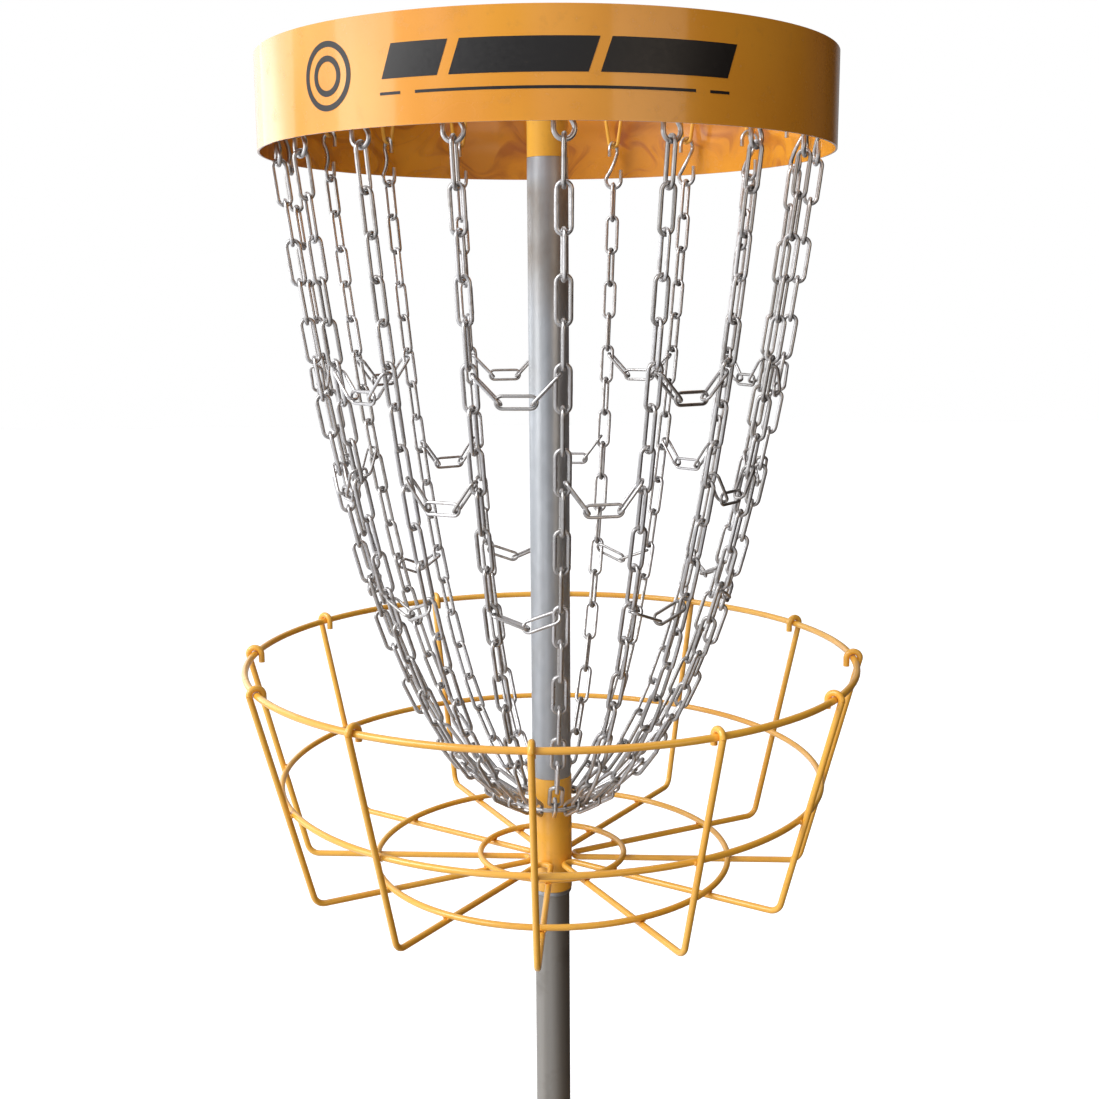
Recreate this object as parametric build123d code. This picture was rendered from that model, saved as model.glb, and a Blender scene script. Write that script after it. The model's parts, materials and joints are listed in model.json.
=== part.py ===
from build123d import *
from math import acos, asin, asinh, atan2, cos, cosh, hypot, radians, sin, sinh, tan
import os

# Disc golf basket: a steel mast on a round base, a wire basket round the mast,
# and a banded head with hanging chains that run in to a ring round the hub.
# Millimetres, +Z up, origin on the ground at the mast's axis, the front is -Y.

# Overall heights, from the ground
RIM_HEIGHT = 820.0
RIM_TO_BAND = 525.0
BAND_HEIGHT = 91.0

# Mast: the lower tube slides in the upper one
SLIDE_FIT = 0.2
UPPER_TUBE_OD = 42.4
UPPER_TUBE_WALL = 1.8
LOWER_TUBE_OD = UPPER_TUBE_OD - 2 * (UPPER_TUBE_WALL + SLIDE_FIT)
LOWER_TUBE_WALL = 2.5
SPIGOT_LENGTH = 110.0
HEAD_SPIGOT_LENGTH = 90.0

# Base
BASE_RING_RADIUS = 280.0
BASE_TUBE_OD = 25.0
BASE_SPOKE_COUNT = 4
BASE_SPOKE_OD = 22.0
SOCKET_OD = LOWER_TUBE_OD + 9.9
SOCKET_HEIGHT = 120.0
FOOT_OD = 34.0
FOOT_HEIGHT = 9.0
FOOT_RECESS = 5.0

# Basket
RIM_RADIUS = 325.0
RIM_WIRE = 7.0
BASKET_WIRE = 6.5
ARM_PAIRS = 6
ARM_TURN = -3.8
CORNER_RADIUS = 272.0
BASKET_DEPTH = 230.0
ARM_BEND = 13.0
HUB_BEND = 7.0
HOOK_TAIL = 9.0
MID_RING_DROP = 128.0
FLOOR_RING_RADIUS = 194.0
INNER_RING_RADIUS = 79.5
HUB_OD = UPPER_TUBE_OD + 1.6
HUB_TOP_DROP = 134.0
HUB_HEIGHT = 129.5
STOP_OD = LOWER_TUBE_OD + 4.6
STOP_HEIGHT = 4.5
WELD_GAP = 0.1

# Head
BAND_RADIUS = 290.0
BAND_THICKNESS = 2.0
HEAD_TUBE_LAP = 2.0
HEAD_PLATE = 3.0
HEAD_SPOKE_COUNT = 6
HEAD_SPOKE_WIRE = 8.0
HOOP_WIRE = 7.0
HOOP_DROP = 17.0
HANGER_WIRE = 4.2
HANGER_WIDTH = 21.0
HANGER_BEND = 5.5
HANGER_DEPTH = 39.0
S_WIRE = 4.5
S_HEIGHT = 57.0
S_BEND = 9.0
S_TURN = 8.0
S_TWIST = 68.0
S_TOP_BEND = 9.5
S_TAIL = 12.0
S_TOP_TAIL = 7.0
HOOK_GAP = 0.3

# Chains
STRANDS = 18
STRAND_TURN = 2.2
CHAIN_TOP_RADIUS = 270.0
CHAIN_END_RADIUS = 38.0
CHAIN_END_DROP = 162.5
LINK_WIRE = 4.2
LINK_WIDTH = 17.0
LINK_LENGTH = 38.1
LINK_PLAY = 0.5
LINK_ROLL = 7.0
UPPER_LINKS = 13
CROSS_WIRE = 3.2
CROSS_WIDTH = 14.5
CROSS_LENGTH = 31.5
CROSS_PLAY = 2.4
CROSS_SEAT_GAP = 0.4
CROSS_ROLLED_GAP = 1.5
CROSS_ROLL = 32.0
CROSS_TURN = 64.0
CROSS_JOINTS = (5, 8, 11)
COLLECTOR_WIRE = 5.0

# Heights worked out from those above
BAND_BOTTOM = RIM_HEIGHT + RIM_TO_BAND
BAND_TOP = BAND_BOTTOM + BAND_HEIGHT
HUB_TOP = RIM_HEIGHT - HUB_TOP_DROP
HUB_BOTTOM = HUB_TOP - HUB_HEIGHT
HOOP_Z = BAND_TOP - HOOP_DROP
HEAD_SPOKE_Z = HOOP_Z + (HOOP_WIRE + HEAD_SPOKE_WIRE) / 2 + WELD_GAP
UPPER_TUBE_TOP = BAND_BOTTOM - HEAD_TUBE_LAP
FLOOR_Z = RIM_HEIGHT - BASKET_DEPTH
BASE_TUBE_Z = FOOT_HEIGHT + BASE_TUBE_OD / 2 - FOOT_RECESS
HANGER_APEX_Z = HOOP_Z - HANGER_DEPTH
CHAIN_END_Z = RIM_HEIGHT - CHAIN_END_DROP


def polar(radius, azimuth, z):
    """Point at an azimuth in degrees, counted from the front towards +X."""
    return Vector(radius * sin(radians(azimuth)), -radius * cos(radians(azimuth)), z)


def outward(azimuth):
    return polar(1, azimuth, 0)


def sideways(azimuth):
    return polar(1, azimuth + 90, 0)


def tube(outer, inner, bottom, top):
    """Upright round tube on the mast's axis."""
    ring = Circle(outer / 2) - Circle(inner / 2)
    return extrude(Pos(0, 0, bottom) * ring, top - bottom)


def wire_ring(radius, wire, z):
    return Pos(0, 0, z) * Solid.make_torus(radius, wire / 2)


def round_bar(start, end, diameter):
    direction = end - start
    section = Plane(start, z_dir=direction) * Circle(diameter / 2)
    return extrude(section, direction.length, direction.normalized())


def swept(path, diameter):
    """Round wire of one diameter along a path of straights and arcs."""
    section = Plane(path @ 0, z_dir=path % 0) * Circle(diameter / 2)
    return sweep(section, path)


# ---- base ----------------------------------------------------------------

def base_ring():
    return wire_ring(BASE_RING_RADIUS, BASE_TUBE_OD, BASE_TUBE_Z)


def base_spokes():
    """Straight tubes from the socket out to the ring, their ends cut to fit it."""
    ring = wire_ring(BASE_RING_RADIUS, BASE_TUBE_OD + 2 * WELD_GAP, BASE_TUBE_Z)
    socket = Cylinder(SOCKET_OD / 2 + WELD_GAP, SOCKET_HEIGHT * 2)
    spokes = []
    for index in range(BASE_SPOKE_COUNT):
        azimuth = 45 + 360 * index / BASE_SPOKE_COUNT
        start = polar(SOCKET_OD / 4, azimuth, BASE_TUBE_Z)
        end = polar(BASE_RING_RADIUS, azimuth, BASE_TUBE_Z)
        spokes.append(round_bar(start, end, BASE_SPOKE_OD) - ring - socket)
    return spokes


def base_socket():
    bore = LOWER_TUBE_OD + 2 * SLIDE_FIT
    floor_top = BASE_TUBE_Z - BASE_SPOKE_OD / 2 + 6
    bottom = BASE_TUBE_Z - BASE_SPOKE_OD / 2
    body = tube(SOCKET_OD, bore, bottom, bottom + SOCKET_HEIGHT)
    floor = Pos(0, 0, bottom) * extrude(Circle(SOCKET_OD / 2), floor_top - bottom)
    return body + floor


def base_feet():
    """Rubber pads under the ring, between the spokes, hollowed to sit round the tube."""
    ring = wire_ring(BASE_RING_RADIUS, BASE_TUBE_OD + 2 * WELD_GAP, BASE_TUBE_Z)
    feet = []
    for index in range(BASE_SPOKE_COUNT):
        centre = polar(BASE_RING_RADIUS, 360 * index / BASE_SPOKE_COUNT, 0)
        pad = extrude(Pos(centre) * Circle(FOOT_OD / 2), FOOT_HEIGHT + FOOT_RECESS)
        pad = chamfer(pad.faces().sort_by(Axis.Z)[0].edges(), 1.5)
        feet.append(pad - ring)
    return feet


# ---- mast ----------------------------------------------------------------

def lower_tube():
    bottom = BASE_TUBE_Z - BASE_SPOKE_OD / 2 + 6 + SLIDE_FIT
    inner = LOWER_TUBE_OD - 2 * LOWER_TUBE_WALL
    return tube(LOWER_TUBE_OD, inner, bottom, HUB_TOP + SPIGOT_LENGTH)


def stop_ring():
    """Collar welded to the lower tube, which the basket's hub rests on."""
    top = HUB_BOTTOM - SLIDE_FIT
    collar = tube(STOP_OD, LOWER_TUBE_OD + 2 * WELD_GAP, top - STOP_HEIGHT, top)
    outer_edges = collar.edges().group_by(SortBy.LENGTH)[-1]
    return chamfer(outer_edges, 0.8)


def upper_tube():
    inner = UPPER_TUBE_OD - 2 * UPPER_TUBE_WALL
    return tube(UPPER_TUBE_OD, inner, HUB_TOP + SLIDE_FIT, UPPER_TUBE_TOP)


# ---- basket --------------------------------------------------------------

def hub_sleeve():
    return tube(HUB_OD, LOWER_TUBE_OD + 2 * SLIDE_FIT, HUB_BOTTOM, HUB_TOP)


def hook_bend():
    """Bend radius over the rim, with room for the upright's lean."""
    lean = atan2(RIM_RADIUS - CORNER_RADIUS, BASKET_DEPTH)
    return ((RIM_WIRE + BASKET_WIRE) / 2 + 2 * WELD_GAP) / cos(lean)


def upright_radius(drop):
    """Radius of an upright's centreline at a drop below the rim."""
    top = RIM_RADIUS + hook_bend()
    return top + (CORNER_RADIUS - top) * drop / BASKET_DEPTH


def arm_side(azimuth):
    """Corner points of one upright and its spoke, from the rim in to the hub."""
    hub_radius = (HUB_OD + BASKET_WIRE) / 2 + WELD_GAP
    inner = hub_radius / cos(radians(arm_spread() / 2))
    rim_point = polar(upright_radius(0), azimuth, RIM_HEIGHT)
    return [rim_point, polar(CORNER_RADIUS, azimuth, FLOOR_Z), polar(inner, azimuth, FLOOR_Z)]


def arm_spread():
    """Angle between neighbouring uprights."""
    return 180 / ARM_PAIRS


def rim_hook(azimuth):
    """Short bend over the rim, ending in a cut tail inside it."""
    bend = hook_bend()
    outer = polar(RIM_RADIUS + bend, azimuth, RIM_HEIGHT)
    crown = polar(RIM_RADIUS, azimuth, RIM_HEIGHT + bend)
    inner = polar(RIM_RADIUS - bend, azimuth, RIM_HEIGHT)
    arc = ThreePointArc(outer, crown, inner)
    tail = Line(inner, inner - Vector(0, 0, HOOK_TAIL))
    return swept(Wire([arc, tail]), BASKET_WIRE)


def arm_pair():
    """Two uprights and two spokes of one bent wire, turned back at the hub."""
    side = arm_spread() / 2
    points = arm_side(-side) + arm_side(side)[::-1]
    path = FilletPolyline(*points, radius=[ARM_BEND, HUB_BEND, HUB_BEND, ARM_BEND])
    wire = swept(path, BASKET_WIRE)
    return wire + rim_hook(-side) + rim_hook(side)


def basket_rim():
    return wire_ring(RIM_RADIUS, RIM_WIRE, RIM_HEIGHT)


def mid_ring():
    """Ring welded inside the uprights, half way down the basket."""
    top_radius = upright_radius(0)
    slope = hypot(top_radius - CORNER_RADIUS, BASKET_DEPTH) / BASKET_DEPTH
    radius = upright_radius(MID_RING_DROP) - (BASKET_WIRE + WELD_GAP) * slope
    return wire_ring(radius, BASKET_WIRE, RIM_HEIGHT - MID_RING_DROP)


def floor_rings():
    """Two rings that lie on the spokes."""
    z = FLOOR_Z + BASKET_WIRE + WELD_GAP
    return [wire_ring(radius, BASKET_WIRE, z) for radius in (FLOOR_RING_RADIUS, INNER_RING_RADIUS)]


# ---- head ----------------------------------------------------------------

def head_tube():
    """Tube closed by a plate on top, its swaged spigot dropped into the upper tube."""
    bore = UPPER_TUBE_OD - 2 * UPPER_TUBE_WALL
    spigot_od = bore - 2 * SLIDE_FIT
    inner = spigot_od - 2 * UPPER_TUBE_WALL
    bottom = UPPER_TUBE_TOP + SLIDE_FIT
    body = tube(UPPER_TUBE_OD, inner, bottom, BAND_TOP)
    spigot = tube(spigot_od, inner, bottom - HEAD_SPIGOT_LENGTH, bottom)
    plate = extrude(Pos(0, 0, BAND_TOP - HEAD_PLATE) * Circle(UPPER_TUBE_OD / 2), HEAD_PLATE)
    return body + spigot + plate


def head_spokes():
    spokes = []
    for index in range(HEAD_SPOKE_COUNT):
        azimuth = STRAND_TURN + 10 + 360 * index / HEAD_SPOKE_COUNT
        start = polar(UPPER_TUBE_OD / 2 + WELD_GAP, azimuth, HEAD_SPOKE_Z)
        end = polar(BAND_RADIUS - BAND_THICKNESS - WELD_GAP, azimuth, HEAD_SPOKE_Z)
        bar = round_bar(start + outward(azimuth) * -5, end, HEAD_SPOKE_WIRE)
        spokes.append(bar - Pos(0, 0, HEAD_SPOKE_Z) * Cylinder(UPPER_TUBE_OD / 2 + WELD_GAP, 40))
    return spokes


def hanger_hoop():
    return wire_ring(CHAIN_TOP_RADIUS, HOOP_WIRE, HOOP_Z)


def band():
    return tube(2 * BAND_RADIUS, 2 * (BAND_RADIUS - BAND_THICKNESS), BAND_BOTTOM, BAND_TOP)


def hanger_corner_depth():
    """Depth under the hoop of the sharp corner that the hanger's bend rounds off."""
    half = HANGER_WIDTH / 2
    drop = HANGER_DEPTH - HANGER_BEND
    lean = acos(HANGER_BEND / hypot(half, drop)) - atan2(drop, half)
    return half / tan(lean)


def v_hangers():
    """Bent wires welded under the hoop, each with its point down."""
    hoop = wire_ring(CHAIN_TOP_RADIUS, HOOP_WIRE + 2 * WELD_GAP, HOOP_Z)
    hangers = []
    for index in range(STRANDS):
        azimuth = strand_azimuth(index)
        top = polar(CHAIN_TOP_RADIUS, azimuth, HOOP_Z)
        corner = top - Vector(0, 0, hanger_corner_depth())
        side = sideways(azimuth) * (HANGER_WIDTH / 2)
        path = FilletPolyline(top - side, corner, top + side, radius=HANGER_BEND)
        hangers.append(swept(path, HANGER_WIRE) - hoop)
    return hangers


def s_hook_path():
    """S of two loops: the lower shut by its tail, the upper open and turned by S_TWIST."""
    rise = S_HEIGHT - S_WIRE - S_BEND - S_TOP_BEND
    slant = asin((S_BEND + S_TOP_BEND) / rise)
    low = Vector(0, 0, S_BEND)
    high = low + Vector(0, 0, rise)
    up = Vector(0, 0, 1)
    side = Vector(1, 0, 0)
    top_side = side.rotate(Axis.Z, S_TWIST)
    leaving = side * cos(slant) + up * sin(slant)
    reaching = top_side * cos(slant) + up * sin(slant)
    heading = up * cos(slant) - side * sin(slant)
    arriving = up * cos(slant) - top_side * sin(slant)
    lower_end = Line(low - side * S_BEND + up * S_TAIL, low - side * S_BEND)
    lower = ThreePointArc(low - side * S_BEND, low - up * S_BEND, low + leaving * S_BEND)
    stem = Spline(low + leaving * S_BEND, high - reaching * S_TOP_BEND, tangents=[heading, arriving])
    upper = ThreePointArc(high - reaching * S_TOP_BEND, high + up * S_TOP_BEND, high + top_side * S_TOP_BEND)
    upper_end = Line(high + top_side * S_TOP_BEND, high + top_side * S_TOP_BEND - up * S_TOP_TAIL)
    path = Wire([lower_end, lower, stem, upper, upper_end])
    return path, low - up * S_BEND, high + up * S_TOP_BEND


def s_hooks():
    """Hooks that hang from the V wires and carry the chains."""
    wire = swept(s_hook_path()[0], S_WIRE)
    turned = Rot(0, 0, S_TURN) * wire
    hooks = []
    for index in range(STRANDS):
        azimuth = strand_azimuth(index)
        seat = polar(CHAIN_TOP_RADIUS, azimuth, hook_bottom_z())
        place = Plane(seat, x_dir=sideways(azimuth), z_dir=(0, 0, 1))
        hooks.append(place * turned)
    return hooks


def hook_bottom_z():
    """Height of the wire's centre in the bottom of each hook's lower loop."""
    path, bottom, top = s_hook_path()
    top_z = HANGER_APEX_Z + (HANGER_WIRE + S_WIRE) / 2 + HOOK_GAP
    return top_z - (top - bottom).length


# ---- chains --------------------------------------------------------------

def strand_azimuth(index):
    return STRAND_TURN + 360 * index / STRANDS


def chain_top_z():
    return hook_bottom_z() + (S_WIRE + LINK_PLAY) / 2


def catenary_scale():
    """Scale of the hanging curve that joins the hook to the collector ring."""
    rise = chain_top_z() - CHAIN_END_Z
    low, high = 20.0, 2000.0
    for _ in range(60):
        scale = (low + high) / 2
        reach = scale * (cosh(CHAIN_TOP_RADIUS / scale) - cosh(CHAIN_END_RADIUS / scale))
        if reach > rise:
            low = scale
        else:
            high = scale
    return scale


def chain_points():
    """Joints of one strand as (radius, height), from the hook down to the ring."""
    scale = catenary_scale()
    top = scale * sinh(CHAIN_TOP_RADIUS / scale)
    length = top - scale * sinh(CHAIN_END_RADIUS / scale)
    count = 2 * round((length / LINK_LENGTH - 1) / 2) + 1
    points = []
    for joint in range(count + 1):
        radius = scale * asinh((top - length * joint / count) / scale)
        height = CHAIN_END_Z + scale * (cosh(radius / scale) - cosh(CHAIN_END_RADIUS / scale))
        points.append((radius, height))
    return points


def link(wire, width, pitch, play):
    """Oval welded link along Z, lying in the XZ plane, for joints a pitch apart."""
    bend = (width - wire) / 2
    half = (pitch + play + wire) / 2 - bend
    section = Pos(bend, 0, 0) * Circle(wire / 2)
    leg = extrude(Pos(0, 0, -half) * section, 2 * half)
    arc = revolve(Pos(0, 0, half) * section, Axis((0, 0, half), (0, -1, 0)), 180)
    half_link = leg + arc
    return half_link + half_link.rotate(Axis.Y, 180)


def placed_link(shape, start, end, side, roll=0.0):
    """A link from one joint to the next, its width along side, rolled in degrees."""
    direction = end - start
    plane = Plane((start + end) / 2, x_dir=side, z_dir=direction)
    return plane * Rot(0, 0, roll) * shape


def strand_links(index, shape, points, first, last):
    """Links first to last of one strand, edge on and face on by turns."""
    azimuth = strand_azimuth(index)
    links = []
    for number in range(first, last + 1):
        start = polar(points[number - 1][0], azimuth, points[number - 1][1])
        end = polar(points[number][0], azimuth, points[number][1])
        if number % 2:
            side = (end - start).cross(sideways(azimuth))
            roll = LINK_ROLL * sin(2.1 * index + 1.3 * number)
        else:
            side = sideways(azimuth)
            roll = 0.0
        links.append(placed_link(shape, start, end, side, roll))
    return links


def cross_gap(count):
    """Clearance of a cross wire on a main link, more where the link is rolled."""
    return CROSS_ROLLED_GAP if count == 2 else CROSS_SEAT_GAP


def cross_bearing(count):
    """Level distance from a leg's centre to the centre of the cross wire that rings it."""
    return (LINK_WIRE + CROSS_WIRE) / 2 + cross_gap(count)


def cross_reach():
    """Length of a cross link from its far joint point to the wire's centre at its near end."""
    return CROSS_LENGTH + (CROSS_PLAY + CROSS_WIRE) / 2


def cross_count(span):
    """Fewest links that reach across a span between two legs."""
    return 2 if span / 2 + cross_bearing(2) < cross_reach() else 3


def cross_slope(span):
    """Slope in radians of the outer links of a cross chain over a span."""
    count = cross_count(span)
    run = (span - (count - 2) * CROSS_LENGTH) / 2
    return acos((run + cross_bearing(count)) / cross_reach())


def cross_seat(index, points, joint, toward):
    """Point in a leg of the face-on link beside a joint, where a cross chain rings it."""
    azimuth = strand_azimuth(index)
    spacing = 2 * points[joint][0] * sin(radians(180 / STRANDS))
    span = spacing - LINK_WIDTH + LINK_WIRE
    below = joint % 2 == 1
    start, end = (points[joint], points[joint + 1]) if below else (points[joint], points[joint - 1])
    along = (polar(end[0], azimuth, end[1]) - polar(start[0], azimuth, start[1])).normalized()
    count = cross_count(span)
    rise = cross_bearing(count) * tan(cross_slope(span)) + CROSS_WIRE / 2 + cross_gap(count)
    offset = LINK_PLAY + LINK_WIRE + (rise if below else 0)
    side = sideways(azimuth) * toward * (LINK_WIDTH - LINK_WIRE) / 2
    return polar(start[0], azimuth, start[1]) + along * offset + side


def cross_chain(left, points, joint):
    """Short chain slung from strand left to the next, ringing a leg of each."""
    shape = link(CROSS_WIRE, CROSS_WIDTH, CROSS_LENGTH, CROSS_PLAY)
    left_leg = cross_seat(left, points, joint, 1)
    right_leg = cross_seat(left + 1, points, joint, -1)
    span = (right_leg - left_leg).length
    count = cross_count(span)
    slope = cross_slope(span)
    across = (right_leg - left_leg).normalized()
    out = outward(strand_azimuth(left) + 180 / STRANDS)
    down = Vector(0, 0, -1)
    fall = across * cos(slope) + down * sin(slope)
    climb = across * cos(slope) - down * sin(slope)
    far = cross_reach() - cross_bearing(count) / cos(slope)
    left_joint = left_leg + fall * far
    right_joint = right_leg - climb * far
    start = left_joint - fall * CROSS_LENGTH
    end = right_joint + climb * CROSS_LENGTH
    if count == 2:
        first = placed_link(shape, start, left_joint, out, CROSS_ROLL - CROSS_TURN / 2)
        return [first, placed_link(shape, right_joint, end, out, CROSS_ROLL + CROSS_TURN / 2)]
    middle = placed_link(shape, left_joint, right_joint, down)
    return [placed_link(shape, start, left_joint, out), middle, placed_link(shape, right_joint, end, out)]


def cross_chains(index, points):
    """The cross chains that one strand carries, to both its neighbours."""
    high, middle, low = CROSS_JOINTS
    links = cross_chain(index - 1, points, high)
    links += cross_chain(index, points, middle)
    return links + cross_chain(index - 1, points, low)


def collector_ring(points):
    """Wire ring that threads the last link of every strand."""
    end_radius, end_z = points[-1]
    back_radius, back_z = points[-2]
    length = hypot(back_radius - end_radius, back_z - end_z)
    inset = (COLLECTOR_WIRE + LINK_PLAY) / 2
    radius = end_radius + inset * (back_radius - end_radius) / length
    return wire_ring(radius, COLLECTOR_WIRE, end_z + inset * (back_z - end_z) / length)


# ---- output --------------------------------------------------------------

def save(name, shape):
    solids = shape if isinstance(shape, list) else [shape]
    pieces = [solid for piece in solids for solid in piece.solids()]
    item = pieces[0] if len(pieces) == 1 else Compound(pieces)
    item.label = name
    export_step(item, f"parts/{name}.step")


def save_structure():
    save("base_ring", base_ring())
    save("base_spokes", base_spokes())
    save("base_socket", base_socket())
    save("base_feet", base_feet())
    save("lower_tube", lower_tube())
    save("stop_ring", stop_ring())
    save("upper_tube", upper_tube())
    save("hub_sleeve", hub_sleeve())
    save("basket_rim", basket_rim())
    save("mid_ring", mid_ring())
    save("floor_rings", floor_rings())
    pair = arm_pair()
    for index in range(ARM_PAIRS):
        turn = ARM_TURN - arm_spread() / 2 + 2 * arm_spread() * index
        save(f"arm_pair_{index + 1}", Rot(0, 0, turn) * pair)


def save_head():
    save("head_tube", head_tube())
    save("head_spokes", head_spokes())
    save("hanger_hoop", hanger_hoop())
    save("band", band())
    save("v_hangers", v_hangers())
    save("s_hooks", s_hooks())


def save_chains():
    points = chain_points()
    pitch = hypot(points[1][0] - points[0][0], points[1][1] - points[0][1])
    shape = link(LINK_WIRE, LINK_WIDTH, pitch, LINK_PLAY)
    save("collector_ring", collector_ring(points))
    for index in range(STRANDS):
        upper = strand_links(index, shape, points, 1, UPPER_LINKS)
        if index % 2 == 0:
            upper += cross_chains(index, points)
        save(f"chain_upper_{index + 1:02d}", upper)
        lower = strand_links(index, shape, points, UPPER_LINKS + 1, len(points) - 1)
        save(f"chain_lower_{index + 1:02d}", lower)


def main():
    os.makedirs("parts", exist_ok=True)
    save_structure()
    save_head()
    save_chains()


if __name__ == "__main__":
    main()
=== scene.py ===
import json
from collections import namedtuple
from math import cos, pi, radians, sin, sqrt, tau

import bpy
import numpy as np
from mathutils import Matrix, Vector
from mathutils.bvhtree import BVHTree


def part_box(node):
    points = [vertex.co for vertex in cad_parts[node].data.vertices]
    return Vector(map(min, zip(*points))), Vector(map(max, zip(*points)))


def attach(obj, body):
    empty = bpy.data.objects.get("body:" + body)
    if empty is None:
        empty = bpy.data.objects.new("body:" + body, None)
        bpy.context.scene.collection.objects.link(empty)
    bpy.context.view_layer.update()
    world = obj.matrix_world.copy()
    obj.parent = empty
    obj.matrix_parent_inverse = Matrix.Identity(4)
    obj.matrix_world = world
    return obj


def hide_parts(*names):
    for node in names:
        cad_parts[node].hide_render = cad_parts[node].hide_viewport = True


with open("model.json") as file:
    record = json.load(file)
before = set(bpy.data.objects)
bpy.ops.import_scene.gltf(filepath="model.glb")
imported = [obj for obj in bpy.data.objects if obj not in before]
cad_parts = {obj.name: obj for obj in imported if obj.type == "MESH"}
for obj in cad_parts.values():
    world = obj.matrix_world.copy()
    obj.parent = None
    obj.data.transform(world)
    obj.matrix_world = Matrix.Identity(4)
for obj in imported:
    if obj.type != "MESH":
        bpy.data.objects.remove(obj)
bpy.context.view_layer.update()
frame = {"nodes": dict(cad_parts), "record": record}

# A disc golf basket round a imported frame: bright links in place of the plain ones,
# weld beads, a seam and rivets on the band, a printed pattern, and every finish.
# Metres, the mast on the Z axis, the front towards -Y.

NODES = frame["nodes"]
SLOT_OF = {part["node"]: part["material_slot"] for part in frame["record"]["subparts"]}
BODY_OF = {
    node: body
    for body, members in frame["record"]["behaviour"]["bodies"].items()
    for node in members
}
RNG = np.random.default_rng(18)    # seeded, so each run draws the same
MM = 0.001
UP = Vector((0, 0, 1))

Ring = namedtuple("Ring", "radius height wire")    # centreline radius and height, half wire


# ---- reading the frame ----------------------------------------------------

MERGE_STEPS_PER_METRE = 1e6


def span(node):
    """Lowest and highest corner of a node at rest, as vectors."""
    low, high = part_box(node)
    return Vector(low), Vector(high)


def outer_radius(node):
    """Outer radius of a node that is round about the mast."""
    return span(node)[1].x


def node_arrays(node):
    """A node's vertices merged by place, and its triangles on them."""
    mesh = NODES[node].data
    mesh.calc_loop_triangles()
    points = np.empty(len(mesh.vertices) * 3)
    mesh.vertices.foreach_get("co", points)
    faces = np.empty(len(mesh.loop_triangles) * 3, dtype=np.int64)
    mesh.loop_triangles.foreach_get("vertices", faces)
    points = points.reshape(-1, 3)
    keys = np.round(points * MERGE_STEPS_PER_METRE).astype(np.int64)
    _, first, merged = np.unique(keys, axis=0, return_index=True, return_inverse=True)
    return points[first], merged.reshape(-1)[faces].reshape(-1, 3)


def islands(node):
    """The separate closed shells of a node, as arrays of triangle corners."""
    points, faces = node_arrays(node)
    label = np.arange(len(points))
    while True:
        lowest = label[faces].min(axis=1)
        fresh = label.copy()
        for corner in range(3):
            np.minimum.at(fresh, faces[:, corner], lowest)
        if (fresh == label).all():
            break
        label = fresh
    owner = label[faces[:, 0]]
    return [points[faces[owner == name]] for name in np.unique(owner)]


def placing(triangles):
    """Centre, axes from longest to thinnest, and half sizes of one link's shell."""
    edges = np.cross(triangles[:, 1] - triangles[:, 0], triangles[:, 2] - triangles[:, 0])
    weight = np.linalg.norm(edges, axis=1)[:, None]
    middles = triangles.mean(axis=1)
    centre = (middles * weight).sum(axis=0) / weight.sum()
    offset = middles - centre
    _, axes = np.linalg.eigh((offset * weight).T @ offset)
    axes = axes[:, ::-1].T
    corners = triangles.reshape(-1, 3) - centre
    halves = np.abs(corners @ axes.T).max(axis=0)
    return centre, axes, halves


def ring_size(triangles):
    """Size of a round wire ring about the mast."""
    corners = triangles.reshape(-1, 3)
    reach = np.hypot(corners[:, 0], corners[:, 1])
    low, high = corners[:, 2].min(), corners[:, 2].max()
    wire = (high - low) / 2
    return Ring(reach.max() - wire, low + wire, wire)


def surface_tree(node):
    """A node's surface, to be asked for its nearest point."""
    points, faces = node_arrays(node)
    return BVHTree.FromPolygons(points.tolist(), faces.tolist())


# ---- mesh tools -----------------------------------------------------------

LINK_ARC_STEPS = 11
LINK_LEG_STEPS = 7
LINK_SIDES = 10
BEAD_SIDES = 8
BEAD_END = 0.05            # least swell of a bead at its ends
BEAD_GUIDE = np.array([0.31, 0.17, 0.93])    # along no bead, so each one's sides come out even


def around(radius, height, turn):
    """A point about the mast, its turn counted from the front."""
    return Vector((radius * sin(turn), -radius * cos(turn), height))


def new_piece(name, points, faces, body, slot, finish=None, smooth=True):
    """An object that rides a body, in its slot's finish unless another is named."""
    mesh = bpy.data.meshes.new(name)
    mesh.from_pydata([tuple(p) for p in points], [], [tuple(f) for f in faces])
    mesh.update()
    mesh.polygons.foreach_set("use_smooth", [smooth] * len(mesh.polygons))
    mesh.materials.append(FINISHES[finish or slot])
    piece = bpy.data.objects.new(name, mesh)
    bpy.context.collection.objects.link(piece)
    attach(piece, body)
    return piece


def add_channel(piece, name, values):
    """A number on each vertex, which a finish can read by name."""
    channel = piece.data.attributes.new(name, "FLOAT", "POINT")
    channel.data.foreach_set("value", values.astype(np.float32))


def ring_faces(rings, sides, closed):
    """Quads that join rings of equal sides, end to end."""
    last = rings if closed else rings - 1
    here = np.arange(last)[:, None] * sides
    there = ((np.arange(last) + 1) % rings)[:, None] * sides
    side = np.arange(sides)[None, :]
    after = (side + 1) % sides
    quads = np.stack([here + side, here + after, there + after, there + side], axis=-1)
    return quads.reshape(-1, 4)


def oval_path(half_length, bend):
    """Centreline of a link in its own plane: a leg and an end, then the same mirrored."""
    leg = half_length - bend
    points = []
    for hand in (1, -1):
        for step in range(LINK_LEG_STEPS):
            along = 2 * leg * step / LINK_LEG_STEPS - leg
            points.append((hand * bend, hand * along))
        for step in range(LINK_ARC_STEPS):
            turn = pi * step / LINK_ARC_STEPS
            points.append((hand * bend * cos(turn), hand * (leg + bend * sin(turn))))
    return np.array(points)


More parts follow.
